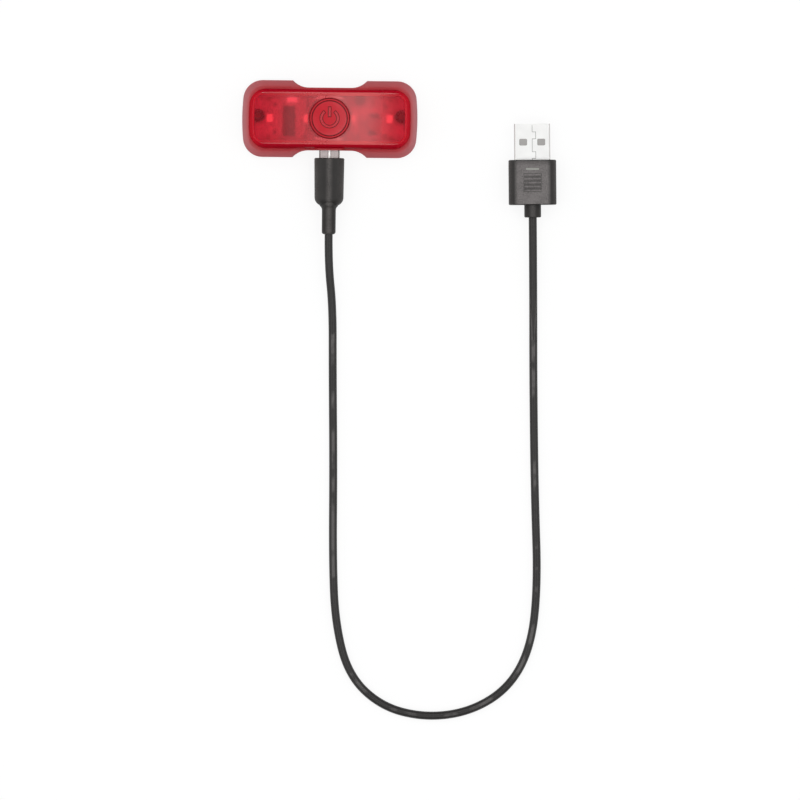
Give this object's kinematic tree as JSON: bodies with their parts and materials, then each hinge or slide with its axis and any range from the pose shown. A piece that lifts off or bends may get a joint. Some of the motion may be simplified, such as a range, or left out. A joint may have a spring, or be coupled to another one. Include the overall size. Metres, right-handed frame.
{
  "type": "helmet rear light",
  "caption": "Flat red rechargeable rear light with a flanged see-through body, a push button on its face and a charging cable with a small and a large plug.",
  "frame": {"origin": "middle of the light's flat back face", "axes": "+X along the light's length, +Z out of the red front face, -Y towards the charging port and its plug"},
  "size_m": [0.1047, 0.2123, 0.0121],
  "materials": {
    "red_lens": "see-through red plastic, satin outside",
    "red_button": "see-through red plastic, satin",
    "red_cover": "red moulded plastic, fine grain",
    "seal_rubber": "soft black rubber",
    "clear_rubber": "soft translucent rubber",
    "screw_steel": "plain steel",
    "board": "white solder mask",
    "white_package": "white moulded plastic",
    "led_resin": "yellow resin",
    "black_plastic": "black moulded plastic",
    "dark_part": "dark grey electronic package",
    "brown_ceramic": "fired ceramic",
    "tin": "tinned metal",
    "gold": "gold plated contacts",
    "steel_shell": "nickel plated stamped steel",
    "pouch": "aluminium pouch foil",
    "yellow_tape": "amber insulating tape",
    "green_board": "green solder mask",
    "red_wire": "red wire insulation",
    "black_wire": "black wire insulation",
    "grip_black": "black moulded grip, fine grain",
    "cord_black": "black cord jacket, satin",
    "white_plastic": "white insulator"
  },
  "bodies": {
    "housing": {"front_shell": "red_lens", "rear_cover": "red_cover", "cover_seal": "seal_rubber", "cover_screws": "screw_steel", "circuit_board": "board", "led_packages": "white_package", "led_windows": "led_resin", "switch_base": "black_plastic", "switch_dome": "tin", "switch_frame": "tin", "controller_chip": "dark_part", "chip_legs": "tin", "charge_indicator": "white_package", "power_inductor": "dark_part", "driver_transistors": "dark_part", "transistor_pins": "tin", "resistor_bodies": "dark_part", "capacitor_bodies": "brown_ceramic", "solder_ends": "tin", "socket_shell": "steel_shell", "socket_tongue": "black_plastic", "socket_contacts": "gold", "battery_tape": "yellow_tape", "battery_cell": "pouch", "battery_guard": "green_board", "battery_lead_red": "red_wire", "battery_lead_black": "black_wire"},
    "button": {"button_cap": "red_button", "button_seal": "clear_rubber", "switch_plunger": "black_plastic"},
    "cable": {"plug_shell": "steel_shell", "plug_insert": "black_plastic", "plug_contacts": "gold", "plug_latches": "steel_shell", "small_grip": "grip_black", "charging_cord": "cord_black", "large_grip": "grip_black", "usb_shell": "steel_shell", "usb_tongue": "white_plastic", "usb_contacts": "gold"}
  },
  "joints": [
    {"name": "button_press", "type": "slide", "parent": "housing", "child": "button", "axis": [0, 0, 1], "range_m": [-0.00035, 0], "stiffness_N_per_m": 4000, "springref_m": 0.0002},
    {"name": "plug_pull", "type": "slide", "parent": "housing", "child": "cable", "axis": [0, -1, 0], "range_m": [0, 0.012]}
  ]
}
